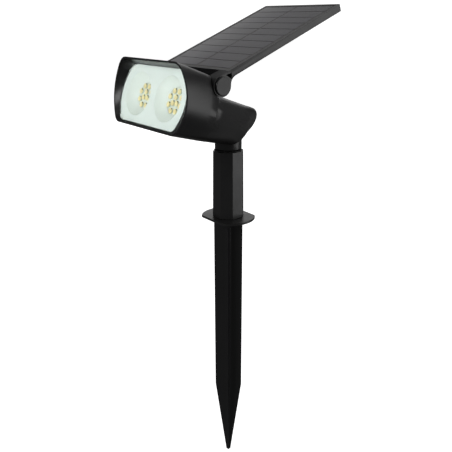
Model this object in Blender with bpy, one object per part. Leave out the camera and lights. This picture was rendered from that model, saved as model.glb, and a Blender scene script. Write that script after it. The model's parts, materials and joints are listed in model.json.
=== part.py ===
"""Solar garden spotlight: ground spike, pole, tilted lamp head and hinged solar panel.

Frame: metres, +Z up. The origin is on the pole axis at ground level, under the spike's
flange. The lamp looks along -Y and the panel leans back over +Y.
"""
import math

import bmesh
import bpy
from mathutils import Matrix, Vector

# ---- clearances ---------------------------------------------------------------------
TOUCH = 0.0003          # gap between pieces that rest on or in each other
SWIVEL_PLAY = 0.0006    # radial play of the spigot in the pole
EAR_PLAY = 0.0007       # radial play round the panel's hinge bosses

# ---- ground spike and pole ------------------------------------------------------------
FLANGE_RADIUS = 0.0210
FLANGE_FLAT = 0.0163        # distance of the flange's two flats from the axis
FLANGE_THICK = 0.0018
SPIKE_LENGTH = 0.2281       # below the flange's underside
SPIKE_POINT = 0.0717        # length of the tapered point
SPIKE_ARM = 0.0113          # reach of each rib
SPIKE_RIB = 0.0018          # thickness of each rib
SPIKE_TIP = 0.0018          # reach of the ribs at the blunt tip
SPIKE_COLLAR = 0.0026       # height of the solid collar under the flange
SPIKE_FILLET = 0.0022       # fillet between neighbouring ribs
POLE_LENGTH = 0.0519
POLE_TOP_FLATS = 0.0221     # across flats at the top
POLE_BASE_FLATS = 0.0232    # across flats at the flange
POLE_BORE = 0.0090          # bore radius
PLUG_HEIGHT = 0.0160        # spike's plug inside the pole

# ---- swivel neck ------------------------------------------------------------------------
NECK_RADIUS = 0.0102
NECK_LIFT = 0.0010          # neck's shoulder above the pole's rim
NECK_REACH = 0.0160         # neck cylinder above the shoulder
SPIGOT_LENGTH = 0.0180
SPIGOT_WALL = 0.0022
SEAL_RADIUS = 0.00070       # O-ring cord radius
SEAL_DEPTH = 0.0060         # O-ring centre below the pole's rim

# ---- lamp head, in its own frame: s forwards, u upwards, from the top of the pole ----------
HEAD_TILT = math.radians(18.3)
FACE_CENTRE = 0.0227        # u of the middle of the lamp's face
FACE_HALF = 0.0221          # half height of the rim
FACE_MIDDLE = 0.0463        # half width at the rim's widest
FACE_BULGE = 0.0098         # how far the rim's sides draw in half a face away from there
BULGE_CENTRE = 0.0216       # u of the head's widest line
RIM_TOP = 0.0845            # s of the rim's top edge, the visor
RIM_BOTTOM = 0.0770
RIM_DISH = 0.0018           # how far the rim's side edges curve back
RIM_WALL = 0.0013
WALL = 0.0020
TOP_DRAFT = math.tan(math.radians(1.75))
BOTTOM_DRAFT = math.tan(math.radians(2.2))
HINGE_MIDDLE = 0.0413       # half width at the panel's hinge
PLAN_EASE = 0.0010          # softens the plan's bend at the hinge
REAR_CENTRE = -0.0038       # s of the centre of the rounded rear end
REAR_RADIUS = 0.0120        # plan radius of the rear end
REAR_BULGE = 0.0025         # side bulge at the rear
LOW_TOP = 0.0336            # u of the rear deck below the hinge
LOW_RISE = 0.030            # slope of the rear deck
HEEL_UPPER = (-0.0100, 0.0243)   # s, u of the slanted heel's upper edge
HEEL_LOWER = (-0.0025, 0.0143)   # and of a point lower down on it

# ---- lens stack ---------------------------------------------------------------------------
LENS_FRONT = 0.0761         # s of the lens's front face
LENS_THICK = 0.0010
LENS_INSET = 0.0025         # rim to lens at the top and bottom
LENS_INSET_SIDE = 0.0063
LENS_CORNER_LOW = 0.0030
LENS_CORNER_HIGH = 0.0058
PLATE_THICK = 0.0014        # reflector plate
GASKET_THICK = 0.0010
GASKET_WIDTH = 0.0017
BOWL_RADIUS = 0.0152
BOWL_PITCH = 0.0184         # bowl centres from the middle
BOWL_FLOOR = 0.0092         # radius of the opening for the LEDs
BOWL_DEPTH = 0.0066
BOWL_WALL = 0.0011
BOARD_THICK = 0.0012
LED_SIZE = 0.0027
LED_HEIGHT = 0.0008
LED_OUTER_RING = 0.0070
LED_INNER_RING = 0.0026
POST_RADIUS = 0.0021
POST_OFFSET = 0.0105        # screw posts above and below the face's middle
BOARD_SHANK = 0.0011        # clearance radius of the LED board's screws

# ---- electronics ----------------------------------------------------------------------------
CELL_RADIUS = 0.0071
CELL_LENGTH = 0.0500
CELL_S = 0.0540
CELL_U = 0.0140
CRADLE_WALL = 0.0011
CONTROL_S = 0.0390
CONTROL_WIDTH = 0.0360
CONTROL_HEIGHT = 0.0190
CONTROL_THICK = 0.0016
LEAD_RADIUS = 0.0006
LEAD_GAP = 0.0010           # from a lead's end to the control board
BUTTON_RADIUS = 0.0042
BUTTON_PROUD = 0.0012
BUTTON_TRAVEL = 0.0008
BUTTON_PLAY = 0.0004

# ---- panel hinge ------------------------------------------------------------------------------
HINGE_S = 0.0508
HINGE_U = 0.0390
BARREL_RADIUS = 0.0058
BARREL_HALF = 0.0279        # half length of the head's barrel
WASHER_THICK = 0.0006
WASHER_RADIUS = 0.0052
CAP_RADIUS = 0.0060
CAP_PROUD = 0.0013
CAP_PLUG = 0.0018
PIN_RADIUS = 0.0015
PIN_HEAD = 0.0028
PIN_HEAD_THICK = 0.0020
PIN_ENGAGE = 0.0085         # screw length in the barrel
INSERT_RADIUS = 0.0026
EAR_WEB = 0.0050            # ear material under the screw head
HAIR = 0.00005              # step that keeps the faces of joined lumps apart

# ---- solar panel, in its hinge's frame: p along the panel, n out of its top ---------------------
PANEL_TILT = math.radians(21.8)
PANEL_HALF = 0.0395
PANEL_NEAR = 0.0082
PANEL_LENGTH = 0.1098
PANEL_TOP = 0.0066
PANEL_THICK = 0.0049
PANEL_CORNER = 0.0010
PANEL_BORDER = 0.0022
LAMINATE_THICK = 0.0018
LAMINATE_SUNK = 0.0002
LEDGE_THICK = 0.0012
LEDGE_WIDTH = 0.0036
COVER_THICK = 0.0010
EAR_ROOT = 0.0078           # how far the ears run under the panel
COVER_SCREW_HEAD = 0.0015
COVER_SCREW_SHANK = 0.0008

ROUND = 32                  # facets of round pieces
SMALL_ROUND = 16

# ---- sizes that follow ------------------------------------------------------------------------------
POLE_TOP = FLANGE_THICK + TOUCH + POLE_LENGTH
SHOULDER = POLE_TOP + NECK_LIFT
LENS_BACK = LENS_FRONT - LENS_THICK
PLATE_FRONT = LENS_BACK - TOUCH
PLATE_BACK = PLATE_FRONT - PLATE_THICK
GASKET_FRONT = PLATE_BACK - TOUCH
GASKET_BACK = GASKET_FRONT - GASKET_THICK
LEDGE_FRONT = GASKET_BACK - TOUCH
LEDGE_BACK = LEDGE_FRONT - WALL
BOWL_BACK = PLATE_FRONT - BOWL_DEPTH
BOARD_FRONT = BOWL_BACK - TOUCH
BOARD_BACK = BOARD_FRONT - BOARD_THICK
PANEL_BOTTOM = PANEL_TOP - PANEL_THICK
PANEL_FAR = PANEL_NEAR + PANEL_LENGTH
LAMINATE_TOP = PANEL_TOP - LAMINATE_SUNK
LAMINATE_BOTTOM = LAMINATE_TOP - LAMINATE_THICK
LEDGE_TOP = LAMINATE_BOTTOM - TOUCH
EAR_INNER = BARREL_HALF + WASHER_THICK + 2 * TOUCH
BOSS_RADIUS = PANEL_TOP + TOUCH
POCKET_RADIUS = BOSS_RADIUS + EAR_PLAY
POCKET_INNER = BARREL_HALF + TOUCH


# ---- building blocks --------------------------------------------------------------------------------
def clear_scene():
    for item in list(bpy.data.objects):
        bpy.data.objects.remove(item, do_unlink=True)


def material(name, colour, roughness, metallic=0.0):
    made = bpy.data.materials.new(name)
    made.use_nodes = True
    shader = made.node_tree.nodes["Principled BSDF"]
    shader.inputs["Base Color"].default_value = (*colour, 1.0)
    shader.inputs["Roughness"].default_value = roughness
    shader.inputs["Metallic"].default_value = metallic
    return made


def empty(name, location, tilt, parent=None):
    made = bpy.data.objects.new(name, None)
    made.location = location
    made.rotation_euler = (tilt, 0.0, 0.0)
    made.parent = parent
    bpy.context.scene.collection.objects.link(made)
    return made


def piece(name, mesh_data, finish=None, parent=None, location=(0, 0, 0), rotation=(0, 0, 0)):
    """Turn a bmesh into a named object with smooth round faces."""
    bmesh.ops.recalc_face_normals(mesh_data, faces=mesh_data.faces)
    mesh = bpy.data.meshes.new(name)
    mesh_data.to_mesh(mesh)
    mesh_data.free()
    mesh.shade_smooth()
    mesh.set_sharp_from_angle(angle=math.radians(35))
    made = bpy.data.objects.new(name, mesh)
    made.location = location
    made.rotation_euler = rotation
    made.parent = parent
    if finish:
        mesh.materials.append(finish)
    bpy.context.scene.collection.objects.link(made)
    return made


def tool(name, mesh_data, parent=None, location=(0, 0, 0), rotation=(0, 0, 0)):
    """A cutter or a lump that other pieces use and that is not a piece itself."""
    made = piece(name, mesh_data, None, parent, location, rotation)
    made.hide_render = True
    made.display_type = "WIRE"
    return made


def combine(target, other, operation, flush=False):
    step = target.modifiers.new(f"{operation.lower()} {other.name}", "BOOLEAN")
    step.operation = operation
    step.solver = "EXACT"
    step.use_self = flush
    step.object = other


def cut(target, other):
    combine(target, other, "DIFFERENCE")


def join(target, other, flush=False):
    """Union; flush is for lumps whose faces nearly lie in the target's own."""
    combine(target, other, "UNION", flush)


def loft(rings):
    """Close a stack of equal rings into one solid."""
    made = bmesh.new()
    rows = [[made.verts.new(point) for point in ring] for ring in rings]
    count = len(rows[0])
    for lower, upper in zip(rows, rows[1:]):
        for i in range(count):
            j = (i + 1) % count
            made.faces.new((lower[i], lower[j], upper[j], upper[i]))
    made.faces.new(list(reversed(rows[0])))
    made.faces.new(rows[-1])
    bmesh.ops.triangulate(made, faces=made.faces)
    return made


def prism(outline, start, end, axis):
    """Extrude an outline along an axis: X takes (y, z), Y takes (x, z), Z takes (x, y)."""
    def place(point, depth):
        a, b = point
        return {"X": (depth, a, b), "Y": (a, depth, b), "Z": (a, b, depth)}[axis]
    return loft([[place(point, depth) for point in outline] for depth in (start, end)])


def ring_points(radius, count, turn=0.0, centre=(0.0, 0.0)):
    angles = [turn + 2 * math.pi * i / count for i in range(count)]
    return [(centre[0] + radius * math.cos(a), centre[1] + radius * math.sin(a)) for a in angles]


def cylinder(radius, start, end, axis="Z", count=ROUND, centre=(0.0, 0.0)):
    return prism(ring_points(radius, count, math.pi / count, centre), start, end, axis)


def turned(profile, count=ROUND):
    """Turn a closed profile of (radius, height) points round Z, clear of the axis."""
    made = bmesh.new()
    rows = []
    for i in range(count):
        a = 2 * math.pi * i / count
        rows.append([made.verts.new((r * math.cos(a), r * math.sin(a), z)) for r, z in profile])
    for i, row in enumerate(rows):
        after = rows[(i + 1) % count]
        for j in range(len(profile)):
            k = (j + 1) % len(profile)
            made.faces.new((row[j], after[j], after[k], row[k]))
    bmesh.ops.triangulate(made, faces=made.faces)
    return made


def stack(sizes, count=ROUND):
    """Turn a stack of (radius, height) pairs into a solid round Z with flat ends."""
    turn = math.pi / count
    return loft([[(x, y, z) for x, y in ring_points(r, count, turn)] for r, z in sizes])


def box(low, high):
    made = bmesh.new()
    size = Vector(high) - Vector(low)
    centre = (Vector(high) + Vector(low)) / 2
    place = Matrix.Translation(centre) @ Matrix.Diagonal((*size, 1.0))
    bmesh.ops.create_cube(made, size=1.0, matrix=place)
    return made


def merge(*parts):
    """Put several bmeshes in one, as a cutter with separate lumps."""
    whole = parts[0]
    for part in parts[1:]:
        copy = bpy.data.meshes.new("lump")
        part.to_mesh(copy)
        whole.from_mesh(copy)
        bpy.data.meshes.remove(copy)
        part.free()
    return whole


def turn_mesh(part, matrix):
    bmesh.ops.transform(part, matrix=matrix, verts=part.verts)
    return part


def rounded_rectangle(low, high, radius, steps=5):
    (x0, y0), (x1, y1) = low, high
    corners = (((x1 - radius, y0 + radius), -90), ((x1 - radius, y1 - radius), 0),
               ((x0 + radius, y1 - radius), 90), ((x0 + radius, y0 + radius), 180))
    points = []
    for (cx, cy), start in corners:
        for i in range(steps + 1):
            a = math.radians(start + 90 * i / steps)
            points.append((cx + radius * math.cos(a), cy + radius * math.sin(a)))
    return points


def bezier(first, handle, last, steps):
    """Points of a quadratic curve, both ends included."""
    points = []
    for i in range(steps + 1):
        t = i / steps
        a, b, c = (1 - t) ** 2, 2 * t * (1 - t), t * t
        points.append(tuple(a * p + b * q + c * r for p, q, r in zip(first, handle, last)))
    return points


def blend(low, high, share):
    return low + (high - low) * share


# ---- ground spike and pole ------------------------------------------------------------------------
def cross_outline(reach, rib, fillet, steps=3):
    """Plus-shaped outline with its ribs on the diagonals and filleted inner corners."""
    half = rib / 2
    fillet = min(fillet, 0.45 * (reach - half))
    outline = []
    for quarter in range(4):
        a = math.radians(45 + 90 * quarter)
        along = Vector((math.cos(a), math.sin(a)))
        across = Vector((-along.y, along.x))
        outline.append(along * reach - across * half)
        outline.append(along * reach + across * half)
        corner = (along + across) * half
        start = corner + along * fillet
        end = corner + across * fillet
        outline += [Vector(point) for point in bezier(start, corner, end, steps)]
    return [(point.x, point.y) for point in outline]


def make_spike(plastic):
    flange = []
    for i in range(48):
        a = 2 * math.pi * (i + 0.5) / 48
        y = FLANGE_RADIUS * math.sin(a)
        flange.append((FLANGE_RADIUS * math.cos(a), max(-FLANGE_FLAT, min(FLANGE_FLAT, y))))
    spike = piece("ground_spike", prism(flange, 0.0, FLANGE_THICK, "Z"), plastic)

    heights = (0.0004, -SPIKE_COLLAR, -(SPIKE_LENGTH - SPIKE_POINT), -SPIKE_LENGTH)
    reaches = (SPIKE_ARM, SPIKE_ARM, SPIKE_ARM, SPIKE_TIP)
    fillets = (SPIKE_FILLET, SPIKE_FILLET, SPIKE_FILLET, SPIKE_TIP / 4)
    ribs = (SPIKE_RIB, SPIKE_RIB, SPIKE_RIB, SPIKE_RIB * 0.7)
    rings = []
    for height, reach, rib, fillet in zip(heights, reaches, ribs, fillets):
        rings.append([(x, y, height) for x, y in cross_outline(reach, rib, fillet)])
    join(spike, tool("spike_ribs", loft(rings)))
    collar = stack([(SPIKE_ARM, 0.0004), (SPIKE_ARM, -SPIKE_COLLAR)])
    join(spike, tool("spike_collar", collar))
    plug_radius = POLE_BORE - TOUCH
    plug_top = FLANGE_THICK + PLUG_HEIGHT
    chamfer = 0.0010
    plug = stack([(plug_radius, FLANGE_THICK - 0.0004), (plug_radius, plug_top - chamfer),
                  (plug_radius - chamfer, plug_top)])
    join(spike, tool("spike_plug", plug))
    return spike


def octagon(flats, height):
    points = ring_points(flats / 2 / math.cos(math.pi / 8), 8, math.pi / 8)
    return [(x, y, height) for x, y in points]


def make_pole(plastic):
    base = FLANGE_THICK + TOUCH
    pole = piece("pole_tube", loft([octagon(POLE_BASE_FLATS, base), octagon(POLE_TOP_FLATS, POLE_TOP)]),
                 plastic)
    bore = cylinder(POLE_BORE, base - 0.001, POLE_TOP + 0.001)
    cut(pole, tool("pole_bore", bore))
    mouth = stack([(POLE_BORE - 0.0005, POLE_TOP - 0.0013), (POLE_BORE + 0.0011, POLE_TOP + 0.0003)])
    cut(pole, tool("pole_mouth", mouth))
    return pole


# ---- lamp head ------------------------------------------------------------------------------------------
def section(middle, bulge, low, high, r_low, r_high, corner_steps=4, side_steps=8):
    """Barrel-sided section as (x, u): flat top and bottom, bulged sides, rounded corners."""
    def side(u):
        return max(middle - bulge * ((u - BULGE_CENTRE) / FACE_HALF) ** 2, 0.0006)

    height = high - low
    r_low = min(r_low, 0.45 * height, 0.8 * side(low))
    r_high = min(r_high, 0.45 * height, 0.8 * side(high))
    right = bezier((side(low) - r_low, low), (side(low), low), (side(low + r_low), low + r_low),
                   corner_steps)
    for i in range(1, side_steps):
        u = blend(low + r_low, high - r_high, i / side_steps)
        right.append((side(u), u))
    right += bezier((side(high - r_high), high - r_high), (side(high), high),
                    (side(high) - r_high, high), corner_steps)
    left = [(-x, u) for x, u in reversed(right)]
    return right + left


def rim_depth(u):
    """s of the rim's front edge, which leans forward to the visor and dishes at the sides."""
    share = (u - FACE_CENTRE) / FACE_HALF
    lean = blend(RIM_BOTTOM, RIM_TOP, (share + 1) / 2)
    return lean - RIM_DISH * (1 - share * share)


def head_middle(s):
    """Half width at the head's widest line: a slim taper to the hinge, a steep one behind it."""
    rear = blend(REAR_RADIUS, HINGE_MIDDLE, (s - REAR_CENTRE) / (HINGE_S - REAR_CENTRE))
    front = blend(HINGE_MIDDLE, FACE_MIDDLE, (s - HINGE_S) / (RIM_BOTTOM - HINGE_S))
    gap = front - rear
    return (front + rear) / 2 - math.sqrt(gap * gap / 4 + PLAN_EASE * PLAN_EASE)


def head_section(s, tall, inset=0.0):
    """Outer section of the head at s, or its wall's inner side when inset is the wall."""
    share = max(0.0, min(1.0, (s - REAR_CENTRE) / (RIM_BOTTOM - REAR_CENTRE)))
    middle = head_middle(max(s, REAR_CENTRE))
    bulge = blend(REAR_BULGE, FACE_BULGE, share)
    low = FACE_CENTRE - FACE_HALF + BOTTOM_DRAFT * (RIM_BOTTOM - s)
    r_low = blend(0.0150, 0.0035, share)
    if tall:
        high = FACE_CENTRE + FACE_HALF - TOP_DRAFT * (RIM_TOP - s)
        r_high = 0.0045
    else:
        high = LOW_TOP + LOW_RISE * (HINGE_S - s)
        r_high = 0.0090
    if s < REAR_CENTRE:
        reach = min(1.0, (REAR_CENTRE - s) / REAR_RADIUS)
        shrink = math.sqrt(max(0.0, 1 - reach * reach))
        middle = middle * shrink
        bulge = bulge * shrink
        high = high - 0.0050 * reach ** 5
        r_high = min(r_high, 0.7 * middle)
    return section(middle - inset, bulge, low + inset, high - inset,
                   max(r_low - inset * 0.6, 0.0008), max(r_high - inset * 0.6, 0.0008))


def at(s, outline):
    return [(x, -s, u) for x, u in outline]


def face_section(inset_side, inset_flat, r_low, r_high):
    return section(FACE_MIDDLE - inset_side, FACE_BULGE, FACE_CENTRE - FACE_HALF + inset_flat,
                   FACE_CENTRE + FACE_HALF - inset_flat, r_low, r_high)


def lens_section(grow=0.0):
    return face_section(LENS_INSET_SIDE - grow, LENS_INSET - grow,
                        LENS_CORNER_LOW + grow, LENS_CORNER_HIGH + grow)


def rim_ring(outline, forward):
    """Lay an outline on the rim's curved front, or a little in front of it."""
    return [(x, -(rim_depth(u) + forward), u) for x, u in outline]


def heel_frame():
    """Matrix of the slanted heel: +Z out of the face, origin in its middle, in head space."""
    s0, u0 = HEEL_UPPER
    s1, u1 = HEEL_LOWER
    down = Vector((0.0, -(s1 - s0), u1 - u0)).normalized()
    out = Vector((1.0, 0.0, 0.0)).cross(down)
    if out.y < 0:
        out = -out
    side = down.cross(out)
    middle = Vector((0.0, -blend(s0, s1, 0.36), blend(u0, u1, 0.36)))
    basis = Matrix((side, down, out)).transposed().to_4x4()
    return Matrix.Translation(middle) @ basis


def heel_block(offset):
    """Everything behind the heel's plane, shifted inwards by offset."""
    block = box((-0.04, -0.05, -offset), (0.04, 0.05, 0.04))
    return turn_mesh(block, heel_frame())


def head_body_rings():
    rings = [rim_ring(face_section(0.0, 0.0, 0.0035, 0.0050), 0.0)]
    for s in (0.0730, 0.0660, 0.0590, HINGE_S):
        rings.append(at(s, head_section(s, True)))
    for s in (HINGE_S - 0.0002, 0.0420, 0.0320, 0.0220, 0.0120, 0.0040, REAR_CENTRE):
        rings.append(at(s, head_section(s, False)))
    for reach in (0.32, 0.58, 0.78, 0.91, 0.98):
        s = REAR_CENTRE - REAR_RADIUS * reach
        rings.append(at(s, head_section(s, False)))
    return rings


def cavity_rings():
    flare = face_section(RIM_WALL, RIM_WALL, 0.0028, 0.0043)
    seat = lens_section(TOUCH)
    ledge = lens_section(TOUCH - GASKET_WIDTH)
    step = HINGE_S + POCKET_RADIUS + WALL
    rings = [rim_ring(flare, 0.0030), rim_ring(flare, 0.0), at(LENS_FRONT, seat),
             at(LEDGE_FRONT, seat), at(LEDGE_FRONT, ledge), at(LEDGE_BACK, ledge)]
    for s in (LEDGE_BACK, step):
        rings.append(at(s, head_section(s, True, WALL)))
    for s in (step, HINGE_S, 0.0400, 0.0280, 0.0160, 0.0060, REAR_CENTRE):
        rings.append(at(s, head_section(s, False, WALL)))
    for reach in (0.40, 0.66):
        s = REAR_CENTRE - REAR_RADIUS * reach
        rings.append(at(s, head_section(s, False, WALL)))
    return rings


def hinge_sides(make):
    """One call of make(sign, name) for each end of the hinge."""
    return [make(sign, name) for sign, name in ((1, "right"), (-1, "left"))]


def hinge_cylinder(radius, inner, outer, sign, count=ROUND):
    low, high = sorted((sign * inner, sign * outer))
    return cylinder(radius, low, high, "X", count, (-HINGE_S, HINGE_U))


def make_housing(plastic, head):
    housing = piece("head_housing", loft(head_body_rings()), plastic, head)
    cut(housing, tool("heel_cut", heel_block(0.0), head))

    neck = stack([(NECK_RADIUS - 0.0008, SHOULDER), (NECK_RADIUS, SHOULDER + 0.0008),
                  (NECK_RADIUS, SHOULDER + NECK_REACH)])
    join(housing, tool("neck", neck))

    cavity = tool("head_cavity", loft(cavity_rings()), head)
    cut(cavity, tool("heel_wall", heel_block(WALL), head))
    pocket_core = merge(*hinge_sides(lambda sign, _: hinge_cylinder(
        POCKET_RADIUS + WALL, POCKET_INNER - WALL, FACE_MIDDLE + WALL, sign)))
    cut(cavity, tool("pocket_core", pocket_core, head))
    neck_floor = stack([(NECK_RADIUS + 0.0010, SHOULDER - 0.0010),
                        (NECK_RADIUS + 0.0010, SHOULDER + 0.0060)])
    cut(cavity, tool("neck_floor", neck_floor))
    cut(housing, cavity)

    pocket = merge(*hinge_sides(lambda sign, _: hinge_cylinder(
        POCKET_RADIUS, POCKET_INNER, FACE_MIDDLE + 0.01, sign)))
    cut(housing, tool("hinge_pocket", pocket, head))
    barrel = cylinder(BARREL_RADIUS, -BARREL_HALF, BARREL_HALF, "X", ROUND, (-HINGE_S, HINGE_U))
    join(housing, tool("hinge_barrel", barrel, head))
    insert_hole = merge(*hinge_sides(lambda sign, _: hinge_cylinder(
        INSERT_RADIUS + TOUCH, BARREL_HALF - PIN_ENGAGE - 0.0010, BARREL_HALF + 0.001, sign,
        SMALL_ROUND)))
    cut(housing, tool("insert_holes", insert_hole, head))

    spigot_radius = POLE_BORE - SWIVEL_PLAY
    bottom = POLE_TOP - SPIGOT_LENGTH
    groove = POLE_TOP - SEAL_DEPTH
    groove_radius = POLE_BORE - TOUCH - 2 * SEAL_RADIUS - TOUCH
    groove_half = SEAL_RADIUS + TOUCH
    spigot = stack([(spigot_radius - 0.0010, bottom), (spigot_radius, bottom + 0.0010),
                    (spigot_radius, groove - groove_half), (groove_radius, groove - groove_half),
                    (groove_radius, groove + groove_half), (spigot_radius, groove + groove_half),
                    (spigot_radius, SHOULDER + 0.0004)])
    join(housing, tool("spigot", spigot))
    core = cylinder(groove_radius - SPIGOT_WALL, bottom - 0.001, SHOULDER + 0.0020)
    cut(housing, tool("spigot_core", core))

    hole = turn_mesh(cylinder(BUTTON_RADIUS + BUTTON_PLAY, -WALL - 0.002, 0.002, "Z", 24),
                     heel_frame())
    cut(housing, tool("button_hole", hole, head))
    return housing


def make_neck_seals(rubber):
    cord = [(POLE_BORE - TOUCH - SEAL_RADIUS + SEAL_RADIUS * math.cos(a),
             POLE_TOP - SEAL_DEPTH + SEAL_RADIUS * math.sin(a))
            for a in [2 * math.pi * i / 8 for i in range(8)]]
    piece("swivel_o_ring", turned(cord), rubber)
    low = POLE_TOP + TOUCH
    high = SHOULDER - TOUCH
    inner = POLE_BORE + 0.0002
    outer = NECK_RADIUS + 0.0002
    piece("swivel_washer", turned([(inner, low), (outer, low), (outer, high), (inner, high)]), rubber)


def make_lens_stack(finishes, head):
    lens = loft([at(LENS_BACK, lens_section()), at(LENS_FRONT, lens_section())])
    piece("lens", lens, finishes["clear"], head)

    gasket = piece("lens_gasket", loft([at(GASKET_BACK, lens_section()),
                                        at(GASKET_FRONT, lens_section())]),
                   finishes["silicone"], head)
    hole = lens_section(TOUCH - GASKET_WIDTH)
    cut(gasket, tool("gasket_hole", loft([at(GASKET_BACK - 0.001, hole),
                                          at(GASKET_FRONT + 0.001, hole)]), head))

    plate = piece("reflector", loft([at(PLATE_BACK, lens_section()), at(PLATE_FRONT, lens_section())]),
                  finishes["reflector"], head)
    to_s = Matrix.Rotation(math.pi / 2, 4, "X")
    for x in (BOWL_PITCH, -BOWL_PITCH):
        place = Matrix.Translation((x, 0.0, FACE_CENTRE)) @ to_s
        cup = stack([(BOWL_FLOOR + BOWL_WALL, BOWL_BACK),
                     (BOWL_RADIUS + BOWL_WALL * 0.5, PLATE_BACK + 0.0002)])
        join(plate, tool("bowl", turn_mesh(cup, place), head))
        depth = PLATE_FRONT - BOWL_BACK
        bowl = [(BOWL_FLOOR, BOWL_BACK - 0.001), (BOWL_FLOOR, BOWL_BACK + 0.0002)]
        for share in (0.35, 0.7, 0.9):
            bowl.append((blend(BOWL_FLOOR, BOWL_RADIUS, share ** 0.8), BOWL_BACK + depth * share))
        bowl.append((BOWL_RADIUS, PLATE_FRONT + 0.0002))
        cut(plate, tool("bowl_inside", turn_mesh(stack(bowl), place), head))
    for u in (FACE_CENTRE + POST_OFFSET, FACE_CENTRE - POST_OFFSET):
        place = Matrix.Translation((0.0, 0.0, u)) @ to_s
        post = stack([(POST_RADIUS, BOWL_BACK), (POST_RADIUS, PLATE_BACK + 0.0003)], SMALL_ROUND)
        join(plate, tool("post", turn_mesh(post, place), head))
        pilot = stack([(BOARD_SHANK, BOWL_BACK - 0.001), (BOARD_SHANK, PLATE_BACK - 0.0005)],
                      SMALL_ROUND)
        cut(plate, tool("pilot", turn_mesh(pilot, place), head))


def led_places():
    """Centres of the LEDs on one round field: an outer ring of eight and an inner three."""
    ring = [(LED_OUTER_RING, 22.5 + 45 * i) for i in range(8)]
    ring += [(LED_INNER_RING, 90 + 120 * i) for i in range(3)]
    return [(r * math.cos(math.radians(a)), r * math.sin(math.radians(a))) for r, a in ring]


def make_led_board(finish, head):
    half_w = BOWL_PITCH + BOWL_FLOOR + 0.0022
    half_h = POST_OFFSET + 0.0026
    outline = rounded_rectangle((-half_w, FACE_CENTRE - half_h), (half_w, FACE_CENTRE + half_h), 0.004)
    board = piece("led_board", prism(outline, -BOARD_FRONT, -BOARD_BACK, "Y"), finish, head)
    for side in (BOWL_PITCH, -BOWL_PITCH):
        for x, u in led_places():
            low = (side + x - LED_SIZE / 2, -BOARD_FRONT - LED_HEIGHT, FACE_CENTRE + u - LED_SIZE / 2)
            high = (side + x + LED_SIZE / 2, -BOARD_FRONT + 0.0003, FACE_CENTRE + u + LED_SIZE / 2)
            join(board, tool("led", box(low, high), head))
    for u in (FACE_CENTRE + POST_OFFSET, FACE_CENTRE - POST_OFFSET):
        hole = cylinder(BOARD_SHANK, -BOARD_FRONT - 0.001, -BOARD_BACK + 0.001, "Y", SMALL_ROUND,
                        (0.0, u))
        cut(board, tool("board_hole", hole, head))


def screw(head_radius, head_thick, shank_radius, length, count=SMALL_ROUND):
    """Pan-head screw along Z: the head's underside at 0, the shank down to -length."""
    return stack([(shank_radius * 0.6, -length), (shank_radius, -length + shank_radius),
                  (shank_radius, 0.0), (head_radius, 0.0), (head_radius, head_thick * 0.55),
                  (head_radius * 0.72, head_thick)], count)


def make_board_screws(steel, head):
    for name, u in (("board_screw_upper", FACE_CENTRE + POST_OFFSET),
                    ("board_screw_lower", FACE_CENTRE - POST_OFFSET)):
        body = screw(0.0020, 0.0012, BOARD_SHANK - TOUCH, 0.0050)
        place = Matrix.Translation((0.0, -(BOARD_BACK - TOUCH), u)) @ Matrix.Rotation(-math.pi / 2, 4, "X")
        piece(name, turn_mesh(body, place), steel, head)


def make_electronics(finishes, head):
    along_x = Matrix.Rotation(math.pi / 2, 4, "Y")
    half = CELL_LENGTH / 2
    nub = 0.0028
    cell = stack([(CELL_RADIUS - 0.0005, -half), (CELL_RADIUS, -half + 0.0005),
                  (CELL_RADIUS, half - 0.0020), (CELL_RADIUS - 0.0005, half - 0.0015),
                  (nub, half - 0.0015), (nub, half)])
    piece("battery_cell", turn_mesh(cell, Matrix.Translation((0, -CELL_S, CELL_U)) @ along_x),
          finishes["wrap"], head)

    inner = CELL_RADIUS + TOUCH
    outer = inner + CRADLE_WALL
    arc = [math.radians(a) for a in range(195, 346, 15)]
    shell = [(-CELL_S + outer * math.cos(a), CELL_U + outer * math.sin(a)) for a in arc]
    shell += [(-CELL_S + inner * math.cos(a), CELL_U + inner * math.sin(a)) for a in reversed(arc)]
    cradle_half = half - 0.0040
    piece("battery_cradle", prism(shell, -cradle_half, cradle_half, "X"), finishes["cradle"], head)

    board = piece("control_board", box(
        (-CONTROL_WIDTH / 2, -CONTROL_S, CELL_U - CONTROL_HEIGHT / 2),
        (CONTROL_WIDTH / 2, -CONTROL_S + CONTROL_THICK, CELL_U + CONTROL_HEIGHT / 2)),
        finishes["board"], head)
    back = -CONTROL_S + CONTROL_THICK
    chip = box((-0.0100, back - 0.0003, CELL_U - 0.0030), (-0.0040, back + 0.0014, CELL_U + 0.0010))
    coil = cylinder(0.0030, back - 0.0003, back + 0.0030, "Y", SMALL_ROUND, (0.0060, CELL_U + 0.0020))
    join(board, tool("chip", chip, head))
    join(board, tool("coil", coil, head))

    frame = heel_frame()
    back_side = -WALL - BUTTON_TRAVEL - 0.0030
    small = box((-0.0042, -0.0042, back_side - 0.0042), (0.0042, 0.0042, back_side - 0.0032))
    piece("switch_board", turn_mesh(small, frame), finishes["board"], head)
    body = box((-0.0030, -0.0030, back_side - 0.0029), (0.0030, 0.0030, back_side - 0.0006))
    switch = piece("tact_switch", turn_mesh(body, frame), finishes["switch"], head)
    plunger = stack([(0.0014, back_side - 0.0008), (0.0014, back_side)], 12)
    join(switch, tool("plunger", turn_mesh(plunger, frame), head))


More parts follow.
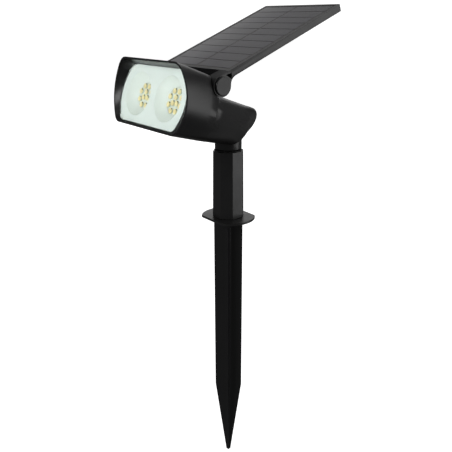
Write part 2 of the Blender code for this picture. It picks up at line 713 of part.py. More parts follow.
def make_button(rubber, head):
    """Cap in the heel: a flanged plug that its own collar keeps inside the wall."""
    collar_radius = BUTTON_RADIUS + BUTTON_PLAY + 0.0006
    collar_top = -WALL - TOUCH
    collar_low = collar_top - 0.0009
    stem_low = -WALL - BUTTON_TRAVEL - 0.0030 + BUTTON_TRAVEL + TOUCH
    cap = stack([(0.0018, stem_low), (0.0018, collar_low), (collar_radius, collar_low),
                 (collar_radius, collar_top), (BUTTON_RADIUS, collar_top),
                 (BUTTON_RADIUS, BUTTON_PROUD - 0.0006), (BUTTON_RADIUS - 0.0006, BUTTON_PROUD)], 24)
    made = piece("power_button", cap, rubber, head)
    made.matrix_local = heel_frame()


def lead(name, points, finish, head):
    """Insulated wire on a smooth curve through its points."""
    smooth = []
    ends = [points[0], *points, points[-1]]
    for a, b, c, d in zip(ends, ends[1:], ends[2:], ends[3:]):
        for i in range(5):
            t = i / 5
            smooth.append([0.5 * (2 * q + (r - p) * t + (2 * p - 5 * q + 4 * r - w) * t * t
                                  + (3 * q - p - 3 * r + w) * t ** 3)
                           for p, q, r, w in zip(a, b, c, d)])
    smooth.append(list(points[-1]))
    curve = bpy.data.curves.new(name, "CURVE")
    curve.dimensions = "3D"
    curve.bevel_depth = LEAD_RADIUS
    curve.bevel_resolution = 1
    curve.use_fill_caps = True
    spline = curve.splines.new("POLY")
    spline.points.add(len(smooth) - 1)
    for point, (x, s, u) in zip(spline.points, smooth):
        point.co = (x, -s, u, 1.0)
    curve.materials.append(finish)
    made = bpy.data.objects.new(name, curve)
    made.parent = head
    bpy.context.scene.collection.objects.link(made)


def make_leads(finishes, head):
    face = CONTROL_S - CONTROL_THICK
    end = CELL_LENGTH / 2 + LEAD_RADIUS + TOUCH
    inner_x = CONTROL_WIDTH / 2 - 0.0030
    edge_u = CELL_U + CELL_RADIUS * 0.72
    for name, side, colour in (("battery_lead_red", 1, "red"), ("battery_lead_black", -1, "dark")):
        points = [(side * (end - 0.0060), CELL_S - CELL_RADIUS - 0.0012, edge_u),
                  (side * (end - 0.0075), CELL_S - CELL_RADIUS - 0.0030, edge_u + 0.0010),
                  (side * (inner_x + 0.0035), CONTROL_S + 0.0030, edge_u + 0.0008),
                  (side * inner_x, CONTROL_S + LEAD_GAP, edge_u - 0.0010)]
        lead(name, points, finishes[colour], head)
    points = [(0.0040, BOARD_BACK - 0.0008, FACE_CENTRE + 0.0070),
              (0.0050, BOARD_BACK - 0.0030, FACE_CENTRE + 0.0078),
              (0.0070, 0.0560, CELL_U + CELL_RADIUS + 0.0028),
              (0.0080, 0.0470, CELL_U + CELL_RADIUS + 0.0022),
              (0.0080, face + 0.0030, CELL_U + CONTROL_HEIGHT / 2 - 0.0012)]
    lead("led_lead", points, finishes["dark"], head)


# ---- hinge and panel -------------------------------------------------------------------------------------
def ear_outline():
    """Ear in (p, n): the boss round the hinge axis, its top strip and the swept root."""
    top = PANEL_TOP - HAIR
    bottom = PANEL_BOTTOM + HAIR
    top_start = -math.sqrt(max(BOSS_RADIUS ** 2 - top ** 2, 0.0))
    begin = math.atan2(top, top_start)
    finish = math.radians(340)
    steps = 26
    points = [(PANEL_NEAR + EAR_ROOT, top)]
    for i in range(steps + 1):
        a = blend(begin, finish, i / steps)
        points.append((BOSS_RADIUS * math.cos(a), BOSS_RADIUS * math.sin(a)))
    last = points[-1]
    rise = (bottom - last[1]) / math.cos(math.radians(20))
    handle = (last[0] + rise * math.sin(math.radians(20)), bottom)
    end = (PANEL_NEAR + EAR_ROOT * 0.62, bottom)
    points += bezier(last, handle, end, 5)[1:]
    points.append((PANEL_NEAR + EAR_ROOT, bottom))
    return points


def panel_rectangle(inset, near=None):
    start = PANEL_NEAR + inset if near is None else near
    return rounded_rectangle((-PANEL_HALF + inset, start), (PANEL_HALF - inset, PANEL_FAR - inset),
                             max(PANEL_CORNER - inset * 0.5, 0.0006), 4)


def make_panel_frame(plastic, hinge):
    frame = piece("panel_frame", prism(panel_rectangle(0.0), PANEL_BOTTOM, PANEL_TOP, "Z"),
                  plastic, hinge)
    cap_seat = PANEL_HALF - CAP_PLUG - TOUCH
    head_seat = EAR_INNER + EAR_WEB
    for sign in (1, -1):
        low, high = sorted((sign * EAR_INNER, sign * (PANEL_HALF - HAIR)))
        join(frame, tool("ear", prism(ear_outline(), low, high, "X"), hinge), flush=True)
        bores = ((CAP_RADIUS - 0.0008 + TOUCH, cap_seat, PANEL_HALF + 0.001),
                 (PIN_HEAD + TOUCH, head_seat, cap_seat + 0.0005),
                 (PIN_RADIUS + TOUCH, EAR_INNER - 0.001, head_seat + 0.0005))
        for radius, start, end in bores:
            low, high = sorted((sign * start, sign * end))
            cut(frame, tool("ear_bore", cylinder(radius, low, high, "X", ROUND), hinge))
        recess = [(0.0050, 0.0053), (0.0098, 0.0046), (0.0083, 0.0009)]
        low, high = sorted((sign * (PANEL_HALF - 0.0050), sign * (PANEL_HALF + 0.001)))
        cut(frame, tool("ear_recess", prism(recess, low, high, "X"), hinge))
    top = prism(panel_rectangle(PANEL_BORDER), LEDGE_TOP, PANEL_TOP + 0.001, "Z")
    cut(frame, tool("laminate_seat", top, hinge))
    floor = prism(panel_rectangle(PANEL_BORDER, PANEL_NEAR + EAR_ROOT + 0.0012),
                  PANEL_BOTTOM - 0.001, LEDGE_TOP - LEDGE_THICK, "Z")
    cut(frame, tool("cover_seat", floor, hinge))
    window = prism(panel_rectangle(PANEL_BORDER + LEDGE_WIDTH, PANEL_NEAR + EAR_ROOT + LEDGE_WIDTH),
                   LEDGE_TOP - LEDGE_THICK - 0.001, LEDGE_TOP + 0.001, "Z")
    cut(frame, tool("panel_window", window, hinge))
    for x, p in cover_screw_places():
        hole = cylinder(COVER_SCREW_SHANK + TOUCH, PANEL_BOTTOM, LEDGE_TOP - 0.0003, "Z", 12, (x, p))
        cut(frame, tool("screw_hole", hole, hinge))


def cover_near():
    return PANEL_NEAR + EAR_ROOT + 0.0012 + TOUCH


def cover_screw_places():
    x = PANEL_HALF - PANEL_BORDER - LEDGE_WIDTH / 2
    near = cover_near() + 0.0040
    far = PANEL_FAR - PANEL_BORDER - LEDGE_WIDTH / 2
    return [(x, near), (-x, near), (x, far), (-x, far)]


def make_panel_inside(finishes, hinge):
    laminate = prism(panel_rectangle(PANEL_BORDER + TOUCH), LAMINATE_BOTTOM, LAMINATE_TOP, "Z")
    piece("solar_laminate", laminate, finishes["solar"], hinge)

    cover_low = PANEL_BOTTOM + TOUCH
    cover = piece("panel_back_cover",
                  prism(panel_rectangle(PANEL_BORDER + TOUCH, cover_near()), cover_low,
                        cover_low + COVER_THICK, "Z"), finishes["plastic"], hinge)
    for x, p in cover_screw_places():
        hole = cylinder(COVER_SCREW_SHANK + TOUCH, cover_low - 0.001, cover_low + COVER_THICK + 0.001,
                        "Z", 12, (x, p))
        cut(cover, tool("cover_hole", hole, hinge))

    names = ("cover_screw_near_right", "cover_screw_near_left",
             "cover_screw_far_right", "cover_screw_far_left")
    for name, (x, p) in zip(names, cover_screw_places()):
        body = screw(COVER_SCREW_HEAD, 0.0008, COVER_SCREW_SHANK, 0.0018, 12)
        place = Matrix.Translation((x, p, cover_low - TOUCH)) @ Matrix.Rotation(math.pi, 4, "X")
        piece(name, turn_mesh(body, place), finishes["steel"], hinge)

    near = PANEL_NEAR + EAR_ROOT + LEDGE_WIDTH + 0.0020
    solder_top = LAMINATE_BOTTOM - TOUCH
    piece("solder_board", box((-0.0080, near, solder_top - 0.0008), (0.0080, near + 0.0100, solder_top)),
          finishes["board"], hinge)


def make_hinge_hardware(finishes, head, hinge):
    for sign, side in ((1, "right"), (-1, "left")):
        along = Matrix.Rotation(sign * math.pi / 2, 4, "Y")
        middle = Matrix.Translation((0.0, -HINGE_S, HINGE_U))
        inner = PIN_RADIUS + TOUCH
        insert_low = BARREL_HALF - PIN_ENGAGE
        sleeve = turned([(inner, insert_low), (INSERT_RADIUS, insert_low),
                         (INSERT_RADIUS, BARREL_HALF - TOUCH), (inner, BARREL_HALF - TOUCH)],
                        SMALL_ROUND)
        piece(f"hinge_insert_{side}", turn_mesh(sleeve, middle @ along), finishes["brass"], head)

        low = BARREL_HALF + TOUCH
        high = low + WASHER_THICK
        washer = turned([(inner, low), (WASHER_RADIUS, low), (WASHER_RADIUS, high), (inner, high)], 24)
        piece(f"hinge_washer_{side}", turn_mesh(washer, middle @ along), finishes["rubber"], head)

        seat = EAR_INNER + EAR_WEB + TOUCH
        pin = screw(PIN_HEAD, PIN_HEAD_THICK, PIN_RADIUS, seat - BARREL_HALF + PIN_ENGAGE - 0.0010)
        place = middle @ along @ Matrix.Translation((0.0, 0.0, seat))
        piece(f"hinge_screw_{side}", turn_mesh(pin, place), finishes["steel"], head)

        plug_radius = CAP_RADIUS - 0.0008
        start = PANEL_HALF - CAP_PLUG
        face = PANEL_HALF + CAP_PROUD
        cap = stack([(plug_radius, start), (plug_radius, PANEL_HALF + TOUCH),
                     (CAP_RADIUS, PANEL_HALF + TOUCH), (CAP_RADIUS, face - 0.0003),
                     (CAP_RADIUS - 0.0003, face)])
        piece(f"hinge_cap_{side}", turn_mesh(cap, along), finishes["plastic"], hinge)


def build():
    clear_scene()
    finishes = {
        "plastic": material("black_plastic", (0.022, 0.022, 0.023), 0.42),
        "rubber": material("black_rubber", (0.016, 0.016, 0.016), 0.75),
        "clear": material("clear_lens", (0.95, 0.98, 0.97), 0.06),
        "silicone": material("white_silicone", (0.80, 0.82, 0.80), 0.6),
        "reflector": material("white_reflector", (0.86, 0.90, 0.88), 0.35),
        "led": material("led_board_white", (0.84, 0.86, 0.80), 0.5),
        "board": material("board_green", (0.05, 0.20, 0.09), 0.5),
        "wrap": material("cell_wrap", (0.05, 0.22, 0.45), 0.35),
        "cradle": material("cradle_plastic", (0.06, 0.06, 0.065), 0.5),
        "switch": material("switch_black", (0.03, 0.03, 0.03), 0.5),
        "red": material("lead_red", (0.55, 0.02, 0.02), 0.5),
        "dark": material("lead_black", (0.02, 0.02, 0.02), 0.5),
        "steel": material("screw_steel", (0.60, 0.60, 0.60), 0.3, 1.0),
        "brass": material("insert_brass", (0.72, 0.53, 0.24), 0.3, 1.0),
        "solar": material("solar_cells", (0.030, 0.028, 0.040), 0.25),
    }
    make_spike(finishes["plastic"])
    make_pole(finishes["plastic"])
    head = empty("head_frame", (0.0, 0.0, POLE_TOP), -HEAD_TILT)
    make_housing(finishes["plastic"], head)
    make_neck_seals(finishes["rubber"])
    make_lens_stack(finishes, head)
    make_led_board(finishes["led"], head)
    make_board_screws(finishes["steel"], head)
    make_electronics(finishes, head)
    make_leads(finishes, head)
    make_button(finishes["rubber"], head)
    hinge = empty("panel_hinge", (0.0, -HINGE_S, HINGE_U), HEAD_TILT + PANEL_TILT, head)
    make_panel_frame(finishes["plastic"], hinge)
    make_panel_inside(finishes, hinge)
    make_hinge_hardware(finishes, head, hinge)


build()
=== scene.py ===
import json
import math

import bmesh
import bpy
from bpy.props import FloatProperty, FloatVectorProperty, IntProperty, PointerProperty
from mathutils import Matrix, Vector


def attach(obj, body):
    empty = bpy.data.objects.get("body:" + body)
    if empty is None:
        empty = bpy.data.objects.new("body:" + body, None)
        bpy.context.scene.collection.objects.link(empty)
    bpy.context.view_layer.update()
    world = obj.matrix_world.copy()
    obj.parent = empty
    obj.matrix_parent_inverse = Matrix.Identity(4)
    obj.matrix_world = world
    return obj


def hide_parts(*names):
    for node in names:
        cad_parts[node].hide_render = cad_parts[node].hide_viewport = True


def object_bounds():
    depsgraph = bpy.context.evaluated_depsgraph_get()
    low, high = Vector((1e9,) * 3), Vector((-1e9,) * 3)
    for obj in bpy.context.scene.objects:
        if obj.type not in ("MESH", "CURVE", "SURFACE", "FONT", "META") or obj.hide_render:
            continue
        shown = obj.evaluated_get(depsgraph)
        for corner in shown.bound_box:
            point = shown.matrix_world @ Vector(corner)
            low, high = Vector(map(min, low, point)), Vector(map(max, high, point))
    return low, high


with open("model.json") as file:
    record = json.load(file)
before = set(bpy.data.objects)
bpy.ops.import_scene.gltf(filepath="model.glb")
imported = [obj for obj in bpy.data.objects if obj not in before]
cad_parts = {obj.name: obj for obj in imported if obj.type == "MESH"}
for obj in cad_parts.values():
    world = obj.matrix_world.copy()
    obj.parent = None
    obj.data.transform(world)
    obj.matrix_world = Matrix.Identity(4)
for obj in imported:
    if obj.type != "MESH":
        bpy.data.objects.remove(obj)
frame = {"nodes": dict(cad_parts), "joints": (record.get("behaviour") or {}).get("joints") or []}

bl_info = {
    "name": "Solar Garden Spotlight",
    "version": (1, 0, 0),
    "blender": (4, 5, 0),
    "location": "View3D > Sidebar > Garden Light",
    "description": "Finishes and fine parts for a solar garden spotlight on a ground spike",
    "category": "Object",
}

CAD_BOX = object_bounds()
NODES = frame["nodes"]
JOINTS = {joint["name"]: joint for joint in frame["joints"]}

# Angles of the two working frames: the lamp head looks up, the panel leans back.
HEAD_TILT = math.radians(18.3)
PANEL_TILT = math.radians(21.8)

# Joining and smoothing of the CAD meshes' copies.
MERGE = 1.0e-6
FLAT_ANGLE = math.radians(0.6)

# Fine parts, in metres.
CELL_PROUD = 0.00008
LED_RIM = 0.00025
SCREW_HEAD = 0.0008
SCREW_SHANK = 0.0008
SCREW_SLOT = 0.0004

# Rings of LEDs on each field: how many, and the angle of the first.
OUTER_LEDS, OUTER_START = 8, 22.5
INNER_LEDS, INNER_START = 3, 90.0

DUST_COLOUR = (0.42, 0.40, 0.37, 1.0)
WINDOW_TINT = (0.93, 0.96, 0.945, 1.0)
WINDOW_INDEX = 1.25


# ---- working frames ---------------------------------------------------------------------
def head_frame():
    """Head space: X across, -Y out of the lens, +Z up the lamp's face."""
    return Matrix.Translation(JOINTS["head_swivel"]["pos_m"]) @ Matrix.Rotation(-HEAD_TILT, 4, "X")


def panel_frame():
    """Panel space: X along the hinge, +Y up the panel, +Z out of its cells."""
    return Matrix.Translation(JOINTS["panel_tilt"]["pos_m"]) @ Matrix.Rotation(PANEL_TILT, 4, "X")


def local_box(node, space):
    """Lowest and highest corner of a CAD node, measured in a working frame."""
    back = space.inverted()
    points = [back @ vertex.co for vertex in NODES[node].data.vertices]
    low = Vector([min(point[i] for point in points) for i in range(3)])
    high = Vector([max(point[i] for point in points) for i in range(3)])
    return low, high


# ---- node helpers -------------------------------------------------------------------------
def new_group(name, kind, inputs, outputs):
    """An empty node group with named sockets; returns it with its input and output nodes."""
    group = bpy.data.node_groups.new(name, kind)
    for label, socket, default in inputs:
        made = group.interface.new_socket(label, in_out="INPUT", socket_type=socket)
        if default is not None:
            made.default_value = default
    for label, socket in outputs:
        group.interface.new_socket(label, in_out="OUTPUT", socket_type=socket)
    return group, group.nodes.new("NodeGroupInput"), group.nodes.new("NodeGroupOutput")


def add(tree, kind, inputs=None, **settings):
    """A node with its settings; an input takes a plain value or another node's socket."""
    node = tree.nodes.new(kind)
    for name, value in settings.items():
        setattr(node, name, value)
    for key, value in (inputs or {}).items():
        if isinstance(value, bpy.types.NodeSocket):
            tree.links.new(value, node.inputs[key])
        else:
            node.inputs[key].default_value = value
    return node


# ---- shared surface effects -----------------------------------------------------------------
def mould_grain_group():
    """Cloudy tone, uneven gloss and the fine spark-eroded grain of a moulded surface."""
    group, source, result = new_group("Mould grain", "ShaderNodeTree", [
        ("Dark", "NodeSocketColor", (0.0, 0.0, 0.0, 1.0)),
        ("Light", "NodeSocketColor", (0.1, 0.1, 0.1, 1.0)),
        ("Cloud Scale", "NodeSocketFloat", 40.0),
        ("Grain Scale", "NodeSocketFloat", 2500.0),
        ("Gloss Low", "NodeSocketFloat", 0.35),
        ("Gloss High", "NodeSocketFloat", 0.45),
    ], [("Color", "NodeSocketColor"), ("Roughness", "NodeSocketFloat"), ("Height", "NodeSocketFloat")])
    place = add(group, "ShaderNodeTexCoord").outputs["Object"]
    cloud = add(group, "ShaderNodeTexNoise", {"Vector": place, "Scale": source.outputs["Cloud Scale"],
                                              "Detail": 4.0, "Roughness": 0.6})
    grain = add(group, "ShaderNodeTexNoise", {"Vector": place, "Scale": source.outputs["Grain Scale"],
                                              "Detail": 2.0})
    tone = add(group, "ShaderNodeMix", {0: cloud.outputs["Fac"], "A": source.outputs["Dark"],
                                        "B": source.outputs["Light"]}, data_type="RGBA")
    gloss = add(group, "ShaderNodeMapRange", {"Value": cloud.outputs["Fac"], "From Min": 0.3,
                                              "From Max": 0.7, "To Min": source.outputs["Gloss Low"],
                                              "To Max": source.outputs["Gloss High"]})
    group.links.new(tone.outputs[2], result.inputs["Color"])
    group.links.new(gloss.outputs["Result"], result.inputs["Roughness"])
    group.links.new(grain.outputs["Fac"], result.inputs["Height"])
    return group


def dust_group():
    """Mask of thin dust that settles in patches on upward faces."""
    group, source, result = new_group("Settled dust", "ShaderNodeTree", [
        ("Amount", "NodeSocketFloat", 0.05),
        ("Patch Scale", "NodeSocketFloat", 60.0),
    ], [("Mask", "NodeSocketFloat")])
    place = add(group, "ShaderNodeTexCoord").outputs["Object"]
    patch = add(group, "ShaderNodeTexNoise", {"Vector": place, "Scale": source.outputs["Patch Scale"],
                                              "Detail": 5.0})
    facing = add(group, "ShaderNodeSeparateXYZ", {0: add(group, "ShaderNodeNewGeometry").outputs["Normal"]})
    upward = add(group, "ShaderNodeMapRange", {"Value": facing.outputs["Z"], "From Min": 0.2,
                                               "From Max": 1.0})
    both = add(group, "ShaderNodeMath", {0: upward.outputs["Result"], 1: patch.outputs["Fac"]},
               operation="MULTIPLY")
    level = add(group, "ShaderNodeMath", {0: both.outputs[0], 1: source.outputs["Amount"]},
                operation="MULTIPLY")
    group.links.new(level.outputs[0], result.inputs["Mask"])
    return group


def group_node(tree, group, inputs):
    node = tree.nodes.new("ShaderNodeGroup")
    node.node_tree = group
    for key, value in inputs.items():
        node.inputs[key].default_value = value
    return node


def finish(name, dark, light, gloss, grain=2500.0, cloud=40.0, depth=0.00002, dust=0.0,
           bump=0.25, **plain):
    """Moulded, turned or printed finish: shared grain and dust round its own shader."""
    made = bpy.data.materials.new(name)
    made.use_nodes = True
    tree = made.node_tree
    shader = tree.nodes["Principled BSDF"]
    body = group_node(tree, GROUPS["grain"], {
        "Dark": (*dark, 1.0), "Light": (*light, 1.0), "Cloud Scale": cloud, "Grain Scale": grain,
        "Gloss Low": gloss[0], "Gloss High": gloss[1]})
    film = group_node(tree, GROUPS["dust"], {"Amount": dust})
    tint = add(tree, "ShaderNodeMix", {0: film.outputs["Mask"], "A": body.outputs["Color"],
                                       "B": DUST_COLOUR}, data_type="RGBA")
    relief = add(tree, "ShaderNodeBump", {"Height": body.outputs["Height"], "Strength": bump,
                                          "Distance": depth})
    tree.links.new(tint.outputs[2], shader.inputs["Base Color"])
    tree.links.new(body.outputs["Roughness"], shader.inputs["Roughness"])
    tree.links.new(relief.outputs["Normal"], shader.inputs["Normal"])
    for key, value in plain.items():
        shader.inputs[key.replace("_", " ")].default_value = value
    return made


GROUPS = {}
FINISHES = {}


def clear_plastic():
    """Polished window moulding: faint green cast and barely uneven gloss."""
    made = finish("clear lens", (0.93, 0.97, 0.955), (0.96, 0.985, 0.975), (0.02, 0.05),
                  grain=900.0, depth=0.000004, bump=0.05)
    shader = made.node_tree.nodes["Principled BSDF"]
    shader.inputs["Transmission Weight"].default_value = 1.0
    shader.inputs["IOR"].default_value = WINDOW_INDEX
    tree = made.node_tree
    out = next(node for node in tree.nodes if node.type == "OUTPUT_MATERIAL")
    path = add(tree, "ShaderNodeLightPath")
    open_way = add(tree, "ShaderNodeBsdfTransparent", {"Color": WINDOW_TINT})
    both = add(tree, "ShaderNodeMixShader", {0: path.outputs["Is Shadow Ray"],
                                             1: shader.outputs[0], 2: open_way.outputs[0]})
    tree.links.new(both.outputs[0], out.inputs["Surface"])
    return made


def solar_finish():
    """Dark silicon under clear resin: each cell a little different."""
    made = bpy.data.materials.new("solar cells")
    made.use_nodes = True
    tree = made.node_tree
    shader = tree.nodes["Principled BSDF"]
    place = add(tree, "ShaderNodeTexCoord").outputs["Object"]
    cells = add(tree, "ShaderNodeTexVoronoi", {"Vector": place, "Scale": 26.0})
    cloud = add(tree, "ShaderNodeTexNoise", {"Vector": place, "Scale": 30.0, "Detail": 4.0})
    tone = add(tree, "ShaderNodeMix", {0: cloud.outputs["Fac"], "A": (0.020, 0.019, 0.022, 1.0),
                                       "B": (0.040, 0.036, 0.052, 1.0)}, data_type="RGBA")
    shade = add(tree, "ShaderNodeMix", {0: 0.10, "A": tone.outputs[2], "B": cells.outputs["Color"]},
                data_type="RGBA", blend_type="MULTIPLY")
    tree.links.new(shade.outputs[2], shader.inputs["Base Color"])
    gloss = add(tree, "ShaderNodeMapRange", {"Value": cloud.outputs["Fac"], "To Min": 0.30,
                                             "To Max": 0.42})
    tree.links.new(gloss.outputs["Result"], shader.inputs["Roughness"])
    shader.inputs["Coat Weight"].default_value = 0.35
    shader.inputs["Coat Roughness"].default_value = 0.12
    return made


def make_finishes(sizes):
    GROUPS["grain"] = mould_grain_group()
    GROUPS["dust"] = dust_group()
    black = tuple(sizes.plastic_colour)
    deep = tuple(channel * 0.8 for channel in black)
    FINISHES.update({
        "plastic": finish("satin black plastic", deep, black, (0.30, 0.40), dust=0.012),
        "rubber": finish("black rubber", (0.010, 0.010, 0.010), (0.018, 0.018, 0.017), (0.65, 0.8),
                         grain=1800.0, dust=0.01),
        "clear": clear_plastic(),
        "silicone": finish("white silicone", (0.74, 0.77, 0.74), (0.82, 0.84, 0.82), (0.5, 0.65)),
        "reflector": finish("white reflector", (0.80, 0.845, 0.815), (0.86, 0.895, 0.87),
                            (0.30, 0.42), grain=1500.0),
        "led": finish("white board", (0.74, 0.78, 0.72), (0.84, 0.86, 0.80), (0.35, 0.5)),
        "phosphor": finish("yellow phosphor", (0.84, 0.68, 0.28), (0.94, 0.83, 0.50), (0.35, 0.5),
                           grain=6000.0),
        "chip": finish("chip frame", (0.80, 0.80, 0.74), (0.90, 0.90, 0.85), (0.3, 0.4)),
        "mark": finish("dark solder mark", (0.04, 0.035, 0.03), (0.10, 0.09, 0.07), (0.4, 0.6)),
        "board": finish("green board", (0.03, 0.15, 0.06), (0.06, 0.22, 0.10), (0.4, 0.5)),
        "wrap": finish("cell wrap", (0.035, 0.17, 0.36), (0.06, 0.24, 0.50), (0.25, 0.35)),
        "cradle": finish("cradle plastic", (0.045, 0.045, 0.05), (0.07, 0.07, 0.075), (0.4, 0.55)),
        "switch": finish("switch plastic", (0.02, 0.02, 0.02), (0.04, 0.04, 0.04), (0.4, 0.55)),
        "red": finish("red insulation", (0.45, 0.015, 0.015), (0.60, 0.03, 0.03), (0.35, 0.5)),
        "dark": finish("black insulation", (0.014, 0.014, 0.014), (0.03, 0.03, 0.03), (0.35, 0.5)),
        "steel": finish("zinc plated steel", (0.50, 0.50, 0.49), (0.66, 0.66, 0.65), (0.22, 0.36),
                        grain=4000.0, Metallic=1.0),
        "brass": finish("turned brass", (0.62, 0.44, 0.18), (0.76, 0.58, 0.28), (0.2, 0.34),
                        Metallic=1.0),
        "resin": finish("panel resin", (0.030, 0.025, 0.020), (0.042, 0.036, 0.028), (0.3, 0.4),
                        Coat_Weight=0.35),
        "solar": solar_finish(),
    })


# ---- mesh helpers ----------------------------------------------------------------------------
def dress(node, finish_name):
    """Give a CAD node its finish."""
    slots = NODES[node].data.materials
    slots.clear()
    slots.append(FINISHES[finish_name])


def new_object(name, mesh, finish_name):
    made = bpy.data.objects.new(name, mesh)
    mesh.materials.clear()
    mesh.materials.append(FINISHES[finish_name])
    bpy.context.scene.collection.objects.link(made)
    return made


def rounded_copy(node, name, edge, finish_name, body, smooth=32.0):
    """Stand-in for a CAD node: merged faces, smooth rounds, edges broken as far as its small faces let."""
    mesh = NODES[node].data.copy()
    work = bmesh.new()
    work.from_mesh(mesh)
    bmesh.ops.remove_doubles(work, verts=work.verts, dist=MERGE)
    bmesh.ops.dissolve_limit(work, angle_limit=FLAT_ANGLE, verts=work.verts, edges=work.edges)
    work.to_mesh(mesh)
    work.free()
    mesh.shade_smooth()
    mesh.set_sharp_from_angle(angle=math.radians(smooth))
    made = new_object(name, mesh, finish_name)
    bevel = made.modifiers.new("broken edge", "BEVEL")
    bevel.width = edge
    bevel.segments = 2
    bevel.limit_method = "ANGLE"
    bevel.angle_limit = math.radians(smooth)
    bevel.harden_normals = True
    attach(made, body)
    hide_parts(node)
    return made


def plain_mesh(name, tree, base, inputs, finish_name):
    """Run a geometry tree on a base mesh and keep the result as an ordinary mesh."""
    holder = bpy.data.objects.new(name + "_holder", base)
    bpy.context.scene.collection.objects.link(holder)
    modifier = holder.modifiers.new("tree", "NODES")
    modifier.node_group = tree
    sockets = {item.name: item.identifier for item in tree.interface.items_tree
               if item.item_type == "SOCKET" and item.in_out == "INPUT"}
    for key, value in inputs.items():
        modifier[sockets[key]] = value
    modifier[sockets["Material"]] = FINISHES[finish_name]
    ready = holder.evaluated_get(bpy.context.evaluated_depsgraph_get())
    mesh = bpy.data.meshes.new_from_object(ready)
    holder.modifiers.clear()
    bpy.data.objects.remove(holder)
    if not mesh.polygons:
        raise RuntimeError(f"{name} came out empty")
    mesh.name = name
    return mesh


def points_mesh(points):
    mesh = bpy.data.meshes.new("points")
    mesh.from_pydata([tuple(point) for point in points], [], [])
    return mesh


def settle(mesh, name, matrix, finish_name, body):
    """Put a finished mesh in its place, with its object at the origin."""
    mesh.transform(matrix)
    made = new_object(name, mesh, finish_name)
    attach(made, body)
    return made


# ---- geometry trees ----------------------------------------------------------------------------
def frustum_tree():
    """One low frustum on every point: cells, chips, phosphor spots and solder marks."""
    tree, source, result = new_group("Frustums on points", "GeometryNodeTree", [
        ("Geometry", "NodeSocketGeometry", None),
        ("Sides", "NodeSocketInt", 4),
        ("Turn", "NodeSocketFloat", 0.0),
        ("Top Share", "NodeSocketFloat", 0.95),
        ("Size", "NodeSocketVector", (0.001, 0.001, 0.001)),
        ("Offset", "NodeSocketVector", (0.0, 0.0, 0.0)),
        ("Material", "NodeSocketMaterial", None),
    ], [("Geometry", "NodeSocketGeometry")])
    body = add(tree, "GeometryNodeMeshCone", {
        "Vertices": source.outputs["Sides"], "Radius Top": source.outputs["Top Share"],
        "Radius Bottom": 1.0, "Depth": 1.0})
    turn = add(tree, "ShaderNodeCombineXYZ", {"Z": source.outputs["Turn"]})
    turned = add(tree, "GeometryNodeTransform", {"Geometry": body.outputs["Mesh"],
                                                 "Rotation": turn.outputs[0]})
    sized = add(tree, "GeometryNodeTransform", {
        "Geometry": turned.outputs[0], "Scale": source.outputs["Size"],
        "Translation": source.outputs["Offset"]})
    spread = add(tree, "GeometryNodeInstanceOnPoints", {"Points": source.outputs["Geometry"],
                                                        "Instance": sized.outputs[0]})
    real = add(tree, "GeometryNodeRealizeInstances", {"Geometry": spread.outputs[0]})
    painted = add(tree, "GeometryNodeSetMaterial", {"Geometry": real.outputs[0],
                                                    "Material": source.outputs["Material"]})
    tree.links.new(painted.outputs[0], result.inputs[0])
    return tree


